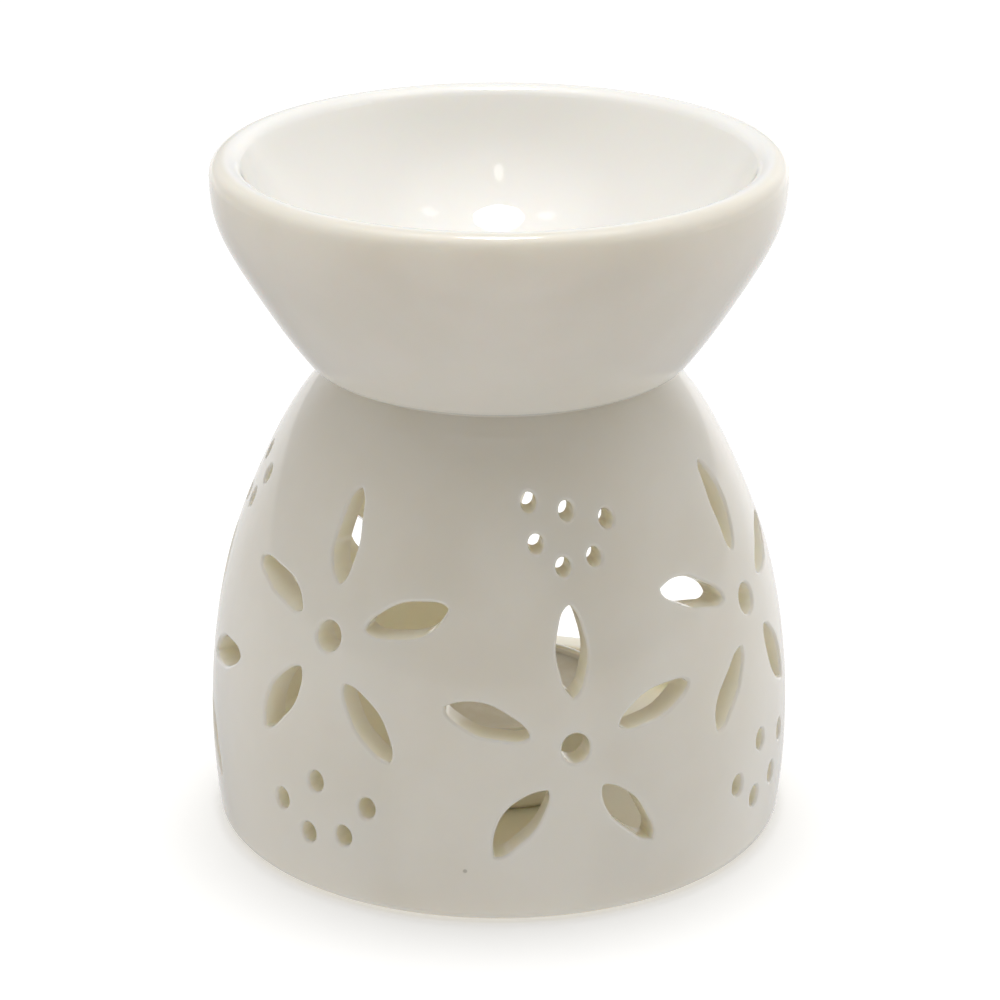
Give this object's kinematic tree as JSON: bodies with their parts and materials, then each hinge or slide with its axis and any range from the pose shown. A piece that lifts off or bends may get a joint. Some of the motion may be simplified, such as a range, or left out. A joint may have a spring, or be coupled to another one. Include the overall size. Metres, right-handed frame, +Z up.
{
  "type": "essential oil burner",
  "caption": "Bell-shaped white glazed ceramic oil burner with a pierced flower pattern, an arch at the back for a tealight and a lift-off oil dish on top.",
  "frame": {"origin": "centre of the foot, on the surface that the burner stands on", "axes": "+Z up through the dish, +Y out of the arch at the back, +X to the right seen from the front"},
  "size_m": [0.0992, 0.0989, 0.116],
  "materials": {
    "body_glaze": "gloss clear glaze over off-white earthenware",
    "dish_glaze": "gloss clear glaze over off-white earthenware",
    "cup_metal": "bright drawn foil",
    "sustainer_metal": "plain stamped tinplate",
    "candle_wax": "white paraffin wax",
    "wick_cotton": "waxed braided cotton"
  },
  "bodies": {
    "burner_body": {"pierced_body": "body_glaze"},
    "oil_dish": {"oil_bowl": "dish_glaze"},
    "tealight": {"tealight_cup": "cup_metal", "wick_sustainer": "sustainer_metal", "tealight_wax": "candle_wax", "wick": "wick_cotton"}
  },
  "joints": [
    {"name": "dish_lift", "type": "slide", "parent": "burner_body", "child": "oil_dish", "axis": [0, 0, 1], "range_m": [0, 0.045]},
    {"name": "tealight_out", "type": "slide", "parent": "burner_body", "child": "tealight", "axis": [0, 0.9781, 0.2079], "range_m": [0, 0.08]}
  ]
}
